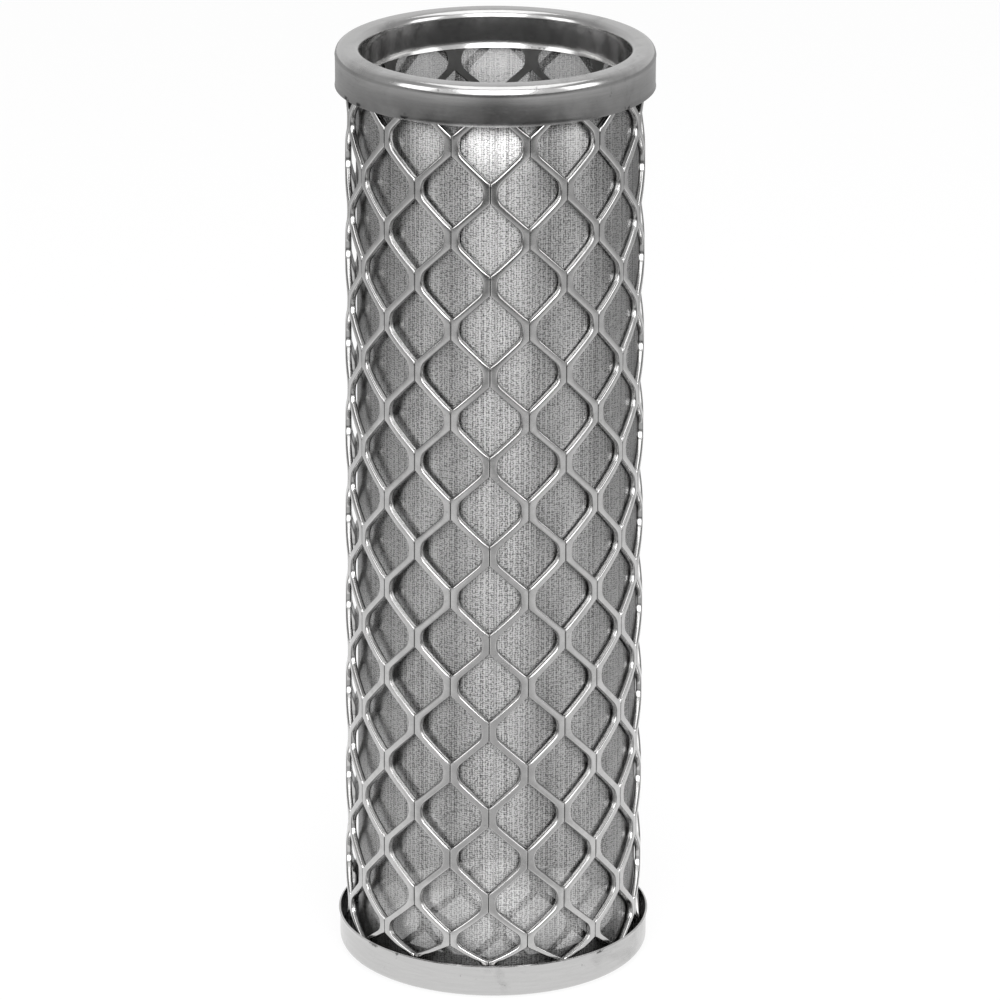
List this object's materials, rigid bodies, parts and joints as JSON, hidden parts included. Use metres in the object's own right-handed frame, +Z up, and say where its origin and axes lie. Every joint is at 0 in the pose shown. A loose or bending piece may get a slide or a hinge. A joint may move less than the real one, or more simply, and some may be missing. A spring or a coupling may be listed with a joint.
{
  "type": "mesh filter element",
  "caption": "Cylindrical filter element: woven wire screen inside an expanded-metal guard, with a channel-section steel ring at each open end.",
  "frame": {"origin": "centre of the bottom end cap's underside, on the element's axis", "axes": "+Z up along the element's axis, towards the deeper end cap; -Y faces the viewer in the picture"},
  "size_m": [0.0838, 0.0838, 0.25],
  "materials": {
    "top_cap": "satin drawn stainless sheet with a few dark smudges",
    "bottom_cap": "satin drawn stainless sheet, pale rounded corner, small stains",
    "guard": "smooth expanded stainless sheet with bright sheared edges",
    "screen": "fine woven stainless wire cloth",
    "core": "flattened expanded stainless sheet",
    "bond": "dark grey cured resin"
  },
  "bodies": {
    "root": {"top_end_cap": "top_cap", "bottom_end_cap": "bottom_cap", "outer_guard": "guard", "mesh_screen": "screen", "inner_core": "core", "top_bond_ring": "bond", "bottom_bond_ring": "bond"}
  },
  "joints": []
}
